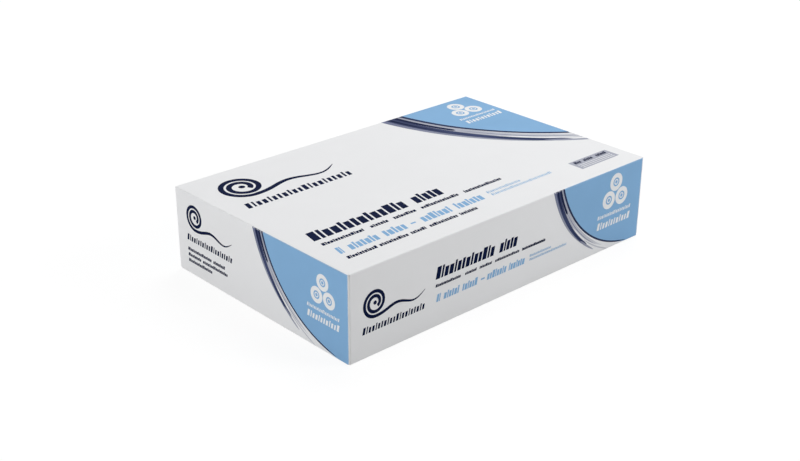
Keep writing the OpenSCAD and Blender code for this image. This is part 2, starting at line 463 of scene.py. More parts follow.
@dataclass(frozen=True)
class Sleeve:
    """The blank's four long panels, folded round and glued low at the back."""

    carton: Carton

    def _along(self) -> np.ndarray:
        """Places along the length, from the left dust flaps' folds to the right ones'.

        Returns:
            Distances from the carton's middle.
        """
        end, r = self.carton.sleeve_half, self.carton.upright_radius
        fold = fold_steps(math.pi / 2.0, r, 11) - end
        guard = EDGE_STEP + r - end
        return np.concatenate([fold, spread(guard, -guard), -fold[::-1]])

    def _round(self, panel: Panel, end_turn: float) -> np.ndarray:
        """Places down one of the four panels, from the crest of its upper fold.

        Args:
            panel: The panel.
            end_turn: Turn of its lower fold at which they end, or 0 at a raw edge.

        Returns:
            Distances from the panel's upper side.
        """
        r = self.carton.fold_radius
        first = panel.upper.inset + fold_steps(CREST_TURN, r)
        end = fold_steps(end_turn, r)[::-1] if end_turn else np.zeros(1)
        last = panel.height - panel.lower.inset - end
        return np.concatenate([first, spread(first[-1] + EDGE_STEP, last[0] - EDGE_STEP), last])

    def shells(self) -> list[Shell]:
        """Lofts the section along the length, with the upright folds' rounds cut at both ends.

        The section is the ring of the back, top, front and base panels, each from the crest on
        which the one before ends. Beside an upright fold, each point's |y| is held to half the
        depth less radius * (1 - cos turn). A fan of triangles closes each end.

        Returns:
            The sleeve, as one closed shell.
        """
        carton, x = self.carton, self._along()
        r = carton.upright_radius
        lap_turn = math.acos(1.0 - carton.seam_lift / carton.fold_radius)
        back = carton.panel(Side.BACK)
        section = [back.place(carton.length / 2.0 - x, self._round(back, 0.0)[::-1, None])]
        for side, end_turn in ((Side.TOP, CREST_TURN), (Side.FRONT, CREST_TURN), (Side.BASE, lap_turn)):
            panel = carton.panel(side)
            section.append(panel.place(x + carton.length / 2.0, self._round(panel, end_turn)[1:, None]))
        grid = np.concatenate(section).transpose(1, 0, 2).copy()
        inside = carton.sleeve_half - np.abs(grid[..., 0])
        turn = np.arcsin(np.clip(1.0 - inside / r, 0.0, 1.0))
        half = carton.depth / 2.0 - r * (1.0 - np.cos(turn))
        grid[..., 1] = np.clip(grid[..., 1], -half, half)
        rows, cols = grid.shape[:2]
        quads = sheet_quads(rows, cols, around=True)
        finish = np.zeros(len(quads), dtype=np.int32)
        finish[cols - 1::cols] = 1
        here, count = np.arange(cols), rows * cols
        after, last = np.roll(here, -1), count - cols
        caps = [np.stack([here, after, np.full(cols, count)], axis=1),
                np.stack([after + last, here + last, np.full(cols, count + 1)], axis=1)]
        middles = [(end, 0.0, carton.height / 2.0) for end in (x[0], x[-1])]
        return [Shell(np.concatenate([grid.reshape(-1, 3), middles]), quads, finish, caps).outward()]


@dataclass(frozen=True)
class EndClosure:
    """Two layers of flaps over one end: the base panel's under flap and the top panel's cover flap."""

    carton: Carton
    side: Side

    def _strip(self, lead: Panel, inside: np.ndarray, flap: Panel, half: np.ndarray,
               down: np.ndarray) -> Shell:
        """Strip of board that leaves a long panel on a fold and goes on over this end.

        Args:
            lead: The panel that it leaves.
            inside: Places on that panel, as distances from this end's plane.
            flap: The panel of this end that it goes on over.
            half: Half the strip's width at each place down the flap.
            down: The places down the flap.

        Returns:
            The closed strip, as thick as the board.
        """
        middle, at_end = self.carton.depth / 2.0, inside if self.side is Side.LEFT else lead.width - inside
        spots = np.concatenate([[1.0, 1.0 - EDGE_STEP / middle],
                                spread(1.0 - 2.0 / middle, 2.0 / middle - 1.0, STEP / middle),
                                [EDGE_STEP / middle - 1.0, -1.0]])
        hand = lead.outward[2] if self.side is Side.LEFT else -lead.outward[2]

        def surface(lift: float) -> Grid:
            """Both stretches of the strip at one height over its outer face."""
            on_lead = lead.place(at_end[:, None], middle - hand * half[0] * spots[None, :], lift)
            return np.concatenate(
                [on_lead, flap.place(middle - half[:, None] * spots[None, :], down[:, None], lift)])

        return slab(surface(0.0), surface(-self.carton.board), edge_finish=1)

    def _cover(self) -> Shell:
        """Cover flap: leaves the top panel, turns down and ends above the base.

        Near its free edge its half width shrinks by corner * (1 - cos) to round the two corners.

        Returns:
            The flap.
        """
        carton, flap = self.carton, self.carton.panel(self.side)
        r, corner = carton.fold_radius, carton.cover_corner
        foot = flap.height - flap.lower.inset
        down = np.concatenate([fold_steps(CREST_TURN, r)[1:],
                               spread(r + EDGE_STEP, foot - corner - EDGE_STEP),
                               foot - fold_steps(math.pi / 2.0, corner, 9)[::-1]])
        past = np.clip(down - (foot - corner), 0.0, corner)
        half = carton.depth / 2.0 - carton.flap_side(self.side) - (corner - np.sqrt(corner**2 - past**2))
        inside = np.concatenate([[2.0 * carton.board], fold_steps(CREST_TURN, r)[::-1]])
        return self._strip(carton.panel(Side.TOP), inside, flap, half, down)

    def _under(self) -> Shell:
        """Under flap: leaves the base panel and turns up behind the cover flap.

        It starts where the sleeve ends, already on its fold, and its sides pass straight by the
        folds along the base.

        Returns:
            The flap.
        """
        carton, flap = self.carton, self.carton.panel(self.side, Layer.UNDER)
        base = replace(carton.panel(Side.BASE), upper=Edge(), lower=Edge())
        r = carton.fold_radius
        down = flap.height - np.concatenate([fold_steps(CREST_TURN, r)[1:],
                                             spread(r + EDGE_STEP, carton.height - carton.under_short)])
        turned = fold_steps(CREST_TURN, r)[::-1]
        inside = carton.board + np.append(carton.board, turned[turned < carton.board - SLIVER])
        half = np.full(len(down), carton.depth / 2.0 - carton.flap_side(self.side, Layer.UNDER))
        return self._strip(base, inside, flap, half, down)

    def shells(self) -> list[Shell]:
        """The two flaps as closed slabs of board."""
        return [self._cover(), self._under()]


# Print


@dataclass(frozen=True)
class Mark:
    """One printed shape on a panel: its ink and its grid of places across and down.

    pale is how far its ink thins out, and over lifts it off what it is printed over.
    """

    ink: Ink
    across: Grid
    down: Grid
    around: bool = False
    pale: Grid | float = 0.0
    over: float = 0.0


@dataclass(frozen=True)
class Streak:
    """A brushed stripe beside a coloured corner, in parts of the stripes' whole width.

    It runs from start to end along the round edge, where 0 is the upper end and 1 is where the
    outermost streak would leave the panel. Its near and far sides, and how pale it is, go evenly
    from the first number of each pair to the second. It is brushed in over the part root of its
    length, and runs out over the part tip.
    """

    ink: Ink
    start: float
    end: float
    near: tuple[float, float]
    far: tuple[float, float]
    pale: tuple[float, float]
    root: float = 0.0
    tip: float = 0.15

    def _way(self, along: np.ndarray) -> np.ndarray:
        """Part of the streak's length at places along the round edge."""
        return np.clip((along - self.start) / (self.end - self.start), 0.0, 1.0)

    def sides(self, along: np.ndarray) -> tuple[np.ndarray, np.ndarray]:
        """Distances of both sides from the round edge.

        Each side lies half a width from the middle, and the width is drawn in towards both ends
        by x * (2 - x), where x is the part of the root or tip that is left.

        Args:
            along: Places along the round edge.

        Returns:
            Distances of the near side and of the far side.
        """
        way = self._way(along)
        near, far = (a + (b - a) * way for a, b in (self.near, self.far))
        full = np.minimum(1.0, (1.0 - way) / self.tip)
        if self.root:
            full = np.minimum(full, way / self.root)
        half = (far - near) / 2.0 * full * (2.0 - full)
        half = np.where((along > self.end) | ((along < self.start) & (self.start > 0.0)), 0.0, half)
        return (near + far) / 2.0 - half, (near + far) / 2.0 + half

    def paleness(self, along: np.ndarray) -> np.ndarray:
        """How far the ink has thinned out."""
        return self.pale[0] + (self.pale[1] - self.pale[0]) * self._way(along)


STREAKS = (
    Streak(Ink.NAVY, 0.0, 0.62, (0.13, 0.14), (0.54, 0.50), (0.42, 0.60), tip=0.3),
    Streak(Ink.NAVY, 0.0, 1.05, (0.13, 0.14), (0.42, 0.40), (0.42, 0.78), tip=0.3),
    Streak(Ink.NAVY, 0.0, 1.44, (0.0, -0.13), (0.16, -0.02), (0.03, 0.03)),
    Streak(Ink.NAVY, 0.0, 0.82, (0.70, 0.70), (1.0, 0.82), (0.20, 0.55), tip=0.5),
    Streak(Ink.NAVY, 0.0, 0.83, (0.42, 0.56), (0.79, 0.77), (0.045, 0.08), tip=0.07),
    Streak(Ink.NAVY, 0.0, 0.32, (0.27, 0.28), (0.44, 0.44), (0.01, 0.01), tip=0.06),
    Streak(Ink.NAVY, 0.0, 0.30, (0.59, 0.60), (0.70, 0.68), (0.0, 0.02), tip=0.5),
    Streak(Ink.NAVY, 0.44, 0.82, (0.58, 0.60), (0.68, 0.69), (0.02, 0.03), root=0.5),
    Streak(Ink.NAVY, 0.32, 0.95, (0.30, 0.31), (0.345, 0.355), (0.15, 0.30), root=0.3, tip=0.4),
    Streak(Ink.SILVER, 0.74, 1.25, (0.44, 0.42), (0.53, 0.50), (0.25, 0.5), root=0.3, tip=0.4),
    Streak(Ink.NAVY, 0.70, 0.95, (0.62, 0.66), (0.79, 0.77), (0.30, 0.5), root=0.3, tip=0.3),
)


@dataclass(frozen=True)
class ColouredCorner:
    """Blue corner of a panel, with a round edge and streaks beside it.

    width and height are the corner's reach along the upper and the right edge, turn is how far the
    round edge turns between them in degrees, stripes is the whole width of the streaks, and
    stretch makes them run on further.
    """

    panel: Panel
    width: float
    height: float
    turn: float
    stripes: float
    stretch: float = 1.0

    @cached_property
    def radius(self) -> float:
        """Radius of the round edge, from its chord and its turn."""
        return math.hypot(self.width, self.height) / 2.0 / math.sin(math.radians(self.turn) / 2.0)

    @cached_property
    def centre(self) -> tuple[float, float]:
        """Centre of the round edge, across and down from the panel's upper left corner.

        Returns:
            The centre.
        """
        chord = math.hypot(self.width, self.height)
        far = self.radius * math.cos(math.radians(self.turn) / 2.0) / chord
        return (self.panel.width - self.width / 2.0 + far * self.height,
                self.height / 2.0 - far * self.width)

    def _reach(self, angle: np.ndarray) -> tuple[np.ndarray, np.ndarray]:
        """Distances from the centre at which rays enter and leave the panel's printed part.

        A ray at an angle runs by (-cos, sin) across and down. Each pair of limits gives two
        distances; the ray enters at the larger of the near ones and leaves at the smaller of the
        far ones, or on the round of a lower corner: d + sqrt(d^2 - c^2 + corner^2), where d is the
        way along the ray to the corner's centre and c the distance to it.

        Args:
            angle: Angles of the rays.

        Returns:
            Distances of entry and of exit, which are the same where a ray misses.
        """
        (x, y), (left, upper, right, lower) = self.centre, self.panel.limits()
        step = np.stack([-np.cos(angle), np.sin(angle)])
        step = np.where(np.abs(step) < 1e-9, 1e-9, step)
        ways = np.stack([(left - x) / step[0], (right - x) / step[0],
                         (upper - y) / step[1], (lower - y) / step[1]])
        enter = np.maximum(np.maximum(np.minimum(ways[0], ways[1]), np.minimum(ways[2], ways[3])), 0.0)
        leave = np.minimum(np.maximum(ways[0], ways[1]), np.maximum(ways[2], ways[3]))
        corner = self.panel.lower_corner
        if corner:
            to = np.array([right - corner - x, lower - corner - y])
            beyond = (x + leave * step[0] > right - corner) & (y + leave * step[1] > lower - corner)
            along = to @ step
            room = np.clip(along**2 - to @ to + corner**2, 0.0, None)
            leave = np.where(beyond, np.minimum(leave, along + np.sqrt(room)), leave)
        return enter, np.maximum(leave, enter)

    @cached_property
    def _angles(self) -> np.ndarray:
        """Fine steps of angle over all of the corner and its streaks, and a little past them."""
        first, past = math.asin(-self.centre[1] / self.radius), 0.5
        return np.linspace(first - past, first + math.radians(self.turn) + past, FINE)

    @cached_property
    def _ends(self) -> tuple[float, float]:
        """Angles between which the outer side of the streaks lies on the panel.

        Returns:
            The first and the last of them.
        """
        enter, leave = self._reach(self._angles)
        outer = self.radius + self.stripes
        there = self._angles[(enter < outer) & (outer < leave)]
        return there[0], there[-1]

    def band(self, streak: Streak, over: float) -> list[Mark]:
        """One streak, cut at the panel's printed part.

        Args:
            streak: The streak, whose lengths are scaled by the stripes' whole width.
            over: How far it is lifted off the streaks that it is printed over.

        Returns:
            The mark, on a grid of angle by distance from the round edge's centre, or an empty list
            where nothing of it lies on the panel.
        """
        first, last = self._ends

        def along(angle: np.ndarray) -> np.ndarray:
            """Place along the streaks at an angle."""
            return (angle - first) / (last - first) / self.stretch

        def cut(angle: np.ndarray) -> list[np.ndarray]:
            """Distances of both sides from the centre, held to where the ray crosses the panel."""
            ends = self._reach(angle)
            return [np.clip(self.radius + self.stripes * side, *ends)
                    for side in streak.sides(along(angle))]

        near, far = cut(self._angles)
        shown = self._angles[far - near > SLIVER]
        if not len(shown):
            return []
        x, y = self.centre

        def step_at(angle: np.ndarray) -> np.ndarray:
            """Longest step of angle, from the steps that the panel allows at both sides."""
            allowed = [self.panel.step(x - away * np.cos(angle), y + away * np.sin(angle))
                       for away in cut(angle)]
            return np.minimum(np.minimum(*allowed), ARC_STEP) / self.radius

        angle = paced(shown[0], shown[-1], step_at)
        near, far = cut(angle)
        steps = np.linspace(0.0, 1.0, max(2, math.ceil((far - near).max() / STEP) + 1))
        away = near[:, None] + (far - near)[:, None] * steps[None, :]
        pale = streak.paleness(along(angle))[:, None] + 0.0 * steps
        return [Mark(streak.ink, x - away * np.cos(angle)[:, None], y + away * np.sin(angle)[:, None],
                     pale=pale, over=over)]

    def field(self) -> Mark:
        """The blue corner, in columns from the upper limit down to the round edge or lower limit.

        The round edge lies at y + sqrt(r^2 - (across - x)^2), and the columns' steps grow with the
        sine of its angle. Down a column, the places on the upper fold stay where they are, and
        those below are drawn together evenly where the column is short.

        Returns:
            The mark, on a grid of columns by places down them.
        """
        (x, y), r = self.centre, self.radius
        _, upper, right, lower = self.panel.limits()
        corner = self.panel.lower_corner

        def floor(across: np.ndarray) -> np.ndarray:
            """Lower end of a column: the round edge, the lower limit or the round lower corner.

            Args:
                across: Places of the columns.

            Returns:
                Distances from the panel's upper side.
            """
            arc = y + np.sqrt(np.clip(r * r - (across - x) ** 2, 0.0, None))
            past = np.clip(across - (right - corner), 0.0, corner)
            return np.minimum(arc, lower - corner + np.sqrt(corner**2 - past**2))

        def step_at(across: np.ndarray) -> np.ndarray:
            """Longest step between columns, where the sine of the edge's angle counts as 0.1 or more.

            Args:
                across: Places of the columns.

            Returns:
                The longest step at each of them.
            """
            on_arc = ARC_STEP * np.sqrt(np.clip(1.0 - ((across - x) / r) ** 2, 0.01, 1.0))
            on_corner = np.where(across > right - corner, FOLD_STEP, STEP)
            allowed = np.minimum(self.panel.step(across, np.full_like(across, STEP)), on_corner)
            return np.where(floor(across) < lower, np.minimum(on_arc, allowed), allowed)

        across = paced(x - math.sqrt(r * r - (upper + SLIVER - y) ** 2), right, step_at)
        middle = np.full(FINE, self.panel.width / 2.0)
        down = paced(upper, lower, lambda at: self.panel.step(middle, at))
        on_fold = down <= self.panel.upper.inset + self.panel.upper.radius
        fold = down[on_fold][-1]
        end = floor(across)[:, None]
        # Share of the fold's places that a column keeps: all of them where it is three folds long
        share = np.minimum(1.0, (end - upper) / (3.0 * (fold - upper)))
        kept = upper + (down - upper) * share
        last = upper + (fold - upper) * share
        drawn = last + (down - fold) * (end - last) / (down[-1] - fold)
        return Mark(Ink.BLUE, across[:, None] + 0.0 * down, np.where(on_fold, kept, drawn))

    def marks(self) -> list[Mark]:
        """The blue corner and its streaks, each over the one before."""
        streaks = (self.band(streak, turn * OVERPRINT) for turn, streak in enumerate(STREAKS))
        return [self.field(), *(mark for marks in streaks for mark in marks)]


def ring(ink: Ink, centre: Sequence[float], inner: float, outer: float, count: int = 72) -> Mark:
    """A ring, on a grid of radius by angle.

    Args:
        ink: The ink that it is printed in.
        centre: Its centre, across and down.
        inner: Radius of its hole.
        outer: Radius of its rim.
        count: Number of places round it.

    Returns:
        The mark.
    """
    angle = np.linspace(0.0, 2.0 * math.pi, count, endpoint=False)
    radius = np.linspace(inner, outer, max(2, math.ceil((outer - inner) / STEP) + 1))[:, None]
    return Mark(ink, centre[0] + radius * np.cos(angle), centre[1] + radius * np.sin(angle), around=True)


def disc(ink: Ink, centre: Sequence[float], radius: float, count: int = 19) -> Mark:
    """A disc: a square grid (s, t) drawn round by s * sqrt(1 - t^2 / 2), t * sqrt(1 - s^2 / 2)."""
    s, t = np.meshgrid(np.linspace(-1.0, 1.0, count), np.linspace(-1.0, 1.0, count), indexing="ij")
    return Mark(ink, centre[0] + radius * s * np.sqrt(1.0 - t * t / 2.0),
                centre[1] + radius * t * np.sqrt(1.0 - s * s / 2.0))


def block(ink: Ink, left: float, upper: float, length: float, height: float, lean: float = 0.0) -> Mark:
    """A block whose upper edge is moved to the right by lean, on a grid of length by height."""
    s, t = np.meshgrid(spread(0.0, 1.0, STEP / length), spread(0.0, 1.0, STEP / height), indexing="ij")
    return Mark(ink, left + lean * (1.0 - t) + (length - lean) * s, upper + height * t)


def stroke(ink: Ink, path: Callable[[np.ndarray], tuple[Grid, Grid]], width: Curve, count: int) -> Mark:
    """A stroke along a path, from half its width on one side to half on the other.

    Args:
        ink: The ink that it is drawn in.
        path: Gives places across and down for a parameter from 0 to 1.
        width: Gives the stroke's width for the same parameter.
        count: Number of places along the path.

    Returns:
        The mark: path point plus the path's normal times a share of the width.
    """
    way = np.linspace(0.0, 1.0, count)
    x, y = path(way)
    dx, dy = np.gradient(x), np.gradient(y)
    size = np.hypot(dx, dy)
    share = np.linspace(-0.5, 0.5, 3)[None, :] * width(way)[:, None]
    return Mark(ink, x[:, None] - share * (dy / size)[:, None], y[:, None] + share * (dx / size)[:, None])


# Widths and heights of the blocks that follow each other in a row, in parts of the row's height
RHYTHM = ((0.44, 1.0), (0.20, 1.0), (0.38, 0.78), (0.42, 0.78), (0.20, 0.98), (0.36, 0.78), (0.28, 0.88),
          (0.42, 0.78), (0.22, 1.0), (0.38, 0.78), (0.32, 0.78))
# How often the rhythm is repeated, and how many blocks further on in it each group starts
RHYTHM_ROUNDS = 12
RHYTHM_SHIFT = 3


@dataclass(frozen=True)
class BlockRow:
    """A row of leaning blocks in groups, in hundredths of the panel.

    groups holds each group's start and length. Widths and heights of the blocks follow RHYTHM,
    widths times bold, and the gap between blocks is gap times the row's height.
    """

    ink: Ink
    down: float
    height: float
    groups: tuple[tuple[float, float], ...]
    bold: float = 1.0
    gap: float = 0.12
    lean: float = 12.0

    def marks(self, panel: Panel) -> list[Mark]:
        """The row's blocks, as many as fill each group, stretched to fill it evenly.

        Args:
            panel: The panel that they are printed on.

        Returns:
            One mark for each block.
        """
        wide, tall = panel.width / 100.0, panel.height / 100.0
        height, lower = self.height * tall, (self.down + self.height) * tall
        slope = math.tan(math.radians(self.lean))
        marks = []
        for turn, (start, length) in enumerate(self.groups):
            rhythm = np.roll(np.tile(RHYTHM, (RHYTHM_ROUNDS, 1)), -RHYTHM_SHIFT * turn, axis=0)
            pitch = np.cumsum(rhythm[:, 0] * self.bold + self.gap) * height
            span = length * wide
            count = 1 + int(np.argmin(np.abs(pitch - self.gap * height - span)))
            stretch = (span - height * slope) / (pitch[count - 1] - self.gap * height)
            lefts = start * wide + np.concatenate([[0.0], pitch[: count - 1]]) * stretch
            for left, (block_width, block_height) in zip(lefts, rhythm):
                size = height * block_height
                marks.append(block(self.ink, left, lower - size,
                                   block_width * self.bold * height * stretch + size * slope, size,
                                   size * slope))
        return marks


@dataclass(frozen=True)
class RollMark:
    """Sign of a roll with its sheet running off, over a row of blocks.

    left, upper and width are in hundredths of the panel. line, inner, core and swing are the line's
    width, the spiral's inner radius, the core's radius and the height of the sheet's waves, in parts
    of the roll's radius. wound is the part of the line that is wound up, waves how often the sheet
    swings, and thinned how far it tapers.
    """

    left: float
    upper: float
    width: float
    turns: float = 1.9
    line: float = 0.215
    inner: float = 0.42
    core: float = 0.13
    swing: float = 0.30
    wound: float = 0.74
    waves: float = 1.3
    thinned: float = 0.86

    def marks(self, panel: Panel) -> list[Mark]:
        """A spiral that runs out into a tapering sheet, its core, and the blocks below.

        Args:
            panel: The panel that it is printed on.

        Returns:
            The marks.
        """
        width = self.width * panel.width / 100.0
        r = width / 5.0
        line = self.line * r
        x, y = self.left * panel.width / 100.0 + r, self.upper * panel.height / 100.0 + r

        def run_off(way: np.ndarray) -> np.ndarray:
            """Part of the sheet that a place on the line has behind it."""
            return np.clip((way - self.wound) / (1.0 - self.wound), 0.0, 1.0)

        def path(way: np.ndarray) -> tuple[np.ndarray, np.ndarray]:
            """Spiral of evenly growing radius, then a gently waving sheet from its lowest point.

            Args:
                way: Places on the line, from 0 to 1.

            Returns:
                The places across and down.
            """
            turn, out = np.clip(way / self.wound, 0.0, 1.0), run_off(way)
            angle = math.pi / 2.0 + 2.0 * math.pi * self.turns * (turn - 1.0)
            radius = r * (self.inner + (1.0 - self.inner) * turn) - line / 2.0
            wave = self.swing * r * (1.0 - np.cos(2.0 * math.pi * self.waves * out)) * out**0.7
            return x - radius * np.cos(angle) + out * (width - r), y + radius * np.sin(angle) - wave

        def thin(way: np.ndarray) -> np.ndarray:
            """Full line on the spiral, tapering to a fine tip along the sheet."""
            return line * (1.0 - self.thinned * run_off(way)**2.4)

        caption = BlockRow(Ink.NAVY, self.upper + (2.0 * r + width * 0.075) / panel.height * 100.0,
                           width * 0.09 / panel.height * 100.0, ((self.left, self.width),),
                           bold=0.95, gap=0.22)
        return [stroke(Ink.NAVY, path, thin, 220), disc(Ink.NAVY, (x, y), r * self.core),
                *caption.marks(panel)]


@dataclass(frozen=True)
class RollGroup:
    """Three roll ends left bare in the blue, over a fine and a bold row of blocks.

    radius, inward and down are in parts of the corner's width and height together: an end's radius,
    the middle's distance from the right edge, and the upper end's depth below the panel's. The rest
    is in parts of the radius: the distance between ends, the inner and outer radius of each ring,
    the rows' length, and the depth below the lower ends' middle and the height of each row.
    """

    radius: float
    inward: float
    down: float
    pitch: float = 2.1
    rings: tuple[tuple[float, float], ...] = ((0.5, 1.0), (0.2, 0.32))
    row_length: float = 5.5
    rows: tuple[tuple[float, float], ...] = ((1.45, 0.42), (2.3, 0.8))

    def marks(self, corner: ColouredCorner) -> list[Mark]:
        """Rings for the ends and for their cores, and the two rows.

        Args:
            corner: The coloured corner that they are left bare in.

        Returns:
            The marks.
        """
        panel, size = corner.panel, corner.width + corner.height
        r = self.radius * size
        pitch = self.pitch * r
        rise = pitch * math.sin(math.pi / 3.0)
        x, y = panel.width - self.inward * size, self.down * size + r + rise
        marks = [ring(Ink.BARE, at, r * inner, r * outer)
                 for at in ((x - pitch / 2.0, y), (x + pitch / 2.0, y), (x, y - rise))
                 for inner, outer in self.rings]
        length = self.row_length * r
        group = ((x - length / 2.0) / panel.width * 100.0, length / panel.width * 100.0)
        for down, height in self.rows:
            row = BlockRow(Ink.BARE, (y + down * r) / panel.height * 100.0, height * r / panel.height * 100.0,
                           (group,), gap=0.24)
            marks += row.marks(panel)
        return marks


@dataclass(frozen=True)
class NotePanel:
    """Small silver panel with bare lines and a few navy blocks, in hundredths of its panel.

    words are the start and length of each group of blocks, and lines the depth of each bare line,
    in parts of the note's width and height.
    """

    left: float
    upper: float
    width: float
    height: float
    words: tuple[tuple[float, float], ...] = ((0.07, 0.18), (0.31, 0.25), (0.65, 0.28))
    lines: tuple[float, ...] = (0.52, 0.68, 0.84)

    def marks(self, panel: Panel) -> list[Mark]:
        """The silver ground with a row of blocks over bare lines.

        Args:
            panel: The panel that it is printed on.

        Returns:
            The marks.
        """
        wide, tall = panel.width / 100.0, panel.height / 100.0
        x, y, w, h = self.left * wide, self.upper * tall, self.width * wide, self.height * tall
        margin = w / 15.0
        groups = tuple((self.left + start * self.width, part * self.width) for start, part in self.words)
        blocks = BlockRow(Ink.NAVY, self.upper + 0.1 * self.height, 0.26 * self.height, groups, 1.3)
        return [block(Ink.SILVER, x, y, w, h), *blocks.marks(panel),
                *(block(Ink.BARE, x + margin, y + part * h, w - 2.0 * margin, h / 22.0)
                  for part in self.lines)]


@dataclass(frozen=True)
class PanelPrint:
    """Everything that is printed on one panel.

    corner_parts are the coloured corner's width and height in parts of the panel's, corner_turn is
    how far its round edge turns in degrees, stripes is the whole width of its streaks, and stretch
    makes them run on further.
    """

    side: Side
    corner_parts: tuple[float, float]
    corner_turn: float
    stripes: float
    roll_mark: RollMark | None = None
    group: RollGroup | None = None
    rows: tuple[BlockRow, ...] = ()
    note: NotePanel | None = None
    stretch: float = 1.0

    def marks(self, panel: Panel) -> list[Mark]:
        """All marks on the panel.

        Args:
            panel: The panel that carries them.

        Returns:
            The marks, in the order in which they are laid.
        """
        width, height = (part * size for part, size in zip(self.corner_parts, (panel.width, panel.height)))
        corner = ColouredCorner(panel, width, height, self.corner_turn, self.stripes, self.stretch)
        marks = corner.marks() + (self.group.marks(corner) if self.group else [])
        for each in (self.roll_mark, self.note, *self.rows):
            if each:
                marks += each.marks(panel)
        return marks


FRONT_ROWS = (
    BlockRow(Ink.NAVY, 31.6, 13.6, ((25.8, 19.4), (46.5, 6.5)), 1.1),
    BlockRow(Ink.NAVY, 50.9, 3.3, ((25.8, 8.1), (35.2, 3.9), (40.0, 4.2), (45.2, 8.4), (54.5, 8.4)), 1.45),
    BlockRow(Ink.BLUE, 62.8, 8.6, ((26.1, 1.5), (28.4, 5.2), (34.4, 5.2), (42.6, 6.8), (50.0, 5.8))),
    BlockRow(Ink.BLUE, 66.7, 1.8, ((40.6, 1.3),), 5.0),
    BlockRow(Ink.BLUE, 63.2, 2.9, ((57.4, 7.7),), 0.8, 0.3),
    BlockRow(Ink.BLUE, 67.8, 2.9, ((57.4, 13.5),), 0.8, 0.3),
)
END_ROWS = (
    BlockRow(Ink.NAVY, 66.8, 4.0, ((6.0, 15.5), (22.5, 7.5)), 1.5),
    BlockRow(Ink.NAVY, 73.8, 4.0, ((6.0, 8.5), (15.5, 16.0)), 1.5),
    BlockRow(Ink.NAVY, 80.8, 4.0, ((6.0, 15.5),), 1.5),
)
TOP_ROWS = (
    BlockRow(Ink.NAVY, 66.1, 6.9, ((5.2, 29.4), (36.5, 9.7)), 1.1),
    BlockRow(Ink.NAVY, 75.8, 2.0, ((5.2, 12.3), (19.4, 5.5), (26.5, 7.1), (35.2, 12.3), (49.4, 12.9)), 1.45),
    BlockRow(Ink.BLUE, 81.8, 4.8, ((5.5, 1.9), (8.7, 9.0), (19.0, 7.1), (30.6, 9.7), (41.6, 9.4))),
    BlockRow(Ink.BLUE, 84.0, 0.9, ((27.4, 1.6),), 5.0),
    BlockRow(Ink.BLUE, 82.2, 1.7, ((53.2, 11.6),), 0.8, 0.3),
    BlockRow(Ink.BLUE, 84.7, 1.7, ((53.2, 21.3),), 0.8, 0.3),
    BlockRow(Ink.NAVY, 89.2, 2.0, ((5.2, 8.7), (14.5, 8.7), (23.9, 4.8), (29.7, 9.0), (39.4, 5.8)), 1.3),
)
PRINTS = (
    PanelPrint(Side.FRONT, (0.31, 1.0), 76.5, 11.6, RollMark(3.9, 24.8, 18.7),
               RollGroup(0.045, 0.2035, 0.028), FRONT_ROWS),
    PanelPrint(Side.LEFT, (0.457, 1.0), 75.0, 11.6, RollMark(6.0, 10.2, 29.0),
               RollGroup(0.0393, 0.165, 0.059), END_ROWS),
    PanelPrint(Side.TOP, (0.2552, 0.62), 44.0, 23.4, RollMark(5.2, 7.5, 32.3),
               RollGroup(0.0377, 0.135, 0.034), TOP_ROWS, NotePanel(82.0, 84.3, 14.4, 7.5), 1.1),
    PanelPrint(Side.BACK, (0.31, 1.0), 76.5, 11.6),
    PanelPrint(Side.RIGHT, (0.457, 1.0), 75.0, 11.6),
)


# Heights of the inks over the board, in the order in which they are printed over each other
INK_HEIGHTS = {Ink.SILVER: 0.03, Ink.BLUE: 0.045, Ink.NAVY: 0.05, Ink.BARE: 0.07}


@dataclass(frozen=True)
class PrintJob:
    """The print on all panels, built as one thin piece for each ink."""

    carton: Carton
    sunk: float = 0.03

    def shells(self) -> dict[Ink, list[Shell]]:
        """Closed slabs of each ink, that follow the board's waves and folds.

        Returns:
            The slabs, in the order in which they are printed.
        """
        layers: dict[Ink, list[Shell]] = {ink: [] for ink in Ink}
        for sheet in PRINTS:
            panel = self.carton.panel(sheet.side)
            for mark in sheet.marks(panel):
                outer = panel.place(mark.across, mark.down, INK_HEIGHTS[mark.ink] + mark.over)
                inner = panel.place(mark.across, mark.down, -self.sunk)
                layers[mark.ink].append(slab(outer, inner, mark.around, pale=mark.pale))
        return layers


# Finishes


# Linear colour of the board's coating, and how pale the ink is where it shows its half-thinned tone
BOARD_WHITE = (0.86, 0.863, 0.872)
HALF_THINNED = 0.12
# Index of refraction of the varnish, and how far its roughness drifts
VARNISH_IOR = 1.48
ROUGHNESS_DRIFT = 0.05
# Scale, per metre, and detail of the noise that makes clouds and fibres
CLOUDS = (38.0, 3.0)
FIBRES = (900.0, 4.0)
# Distances from the carton's edges, in millimetres, between which the rubbing of a fold and its painted
# highlight fade out
RUBBED_AND_LIT = (0.2, 1.1)
WHITE = (1.0, 1.0, 1.0, 1.0)


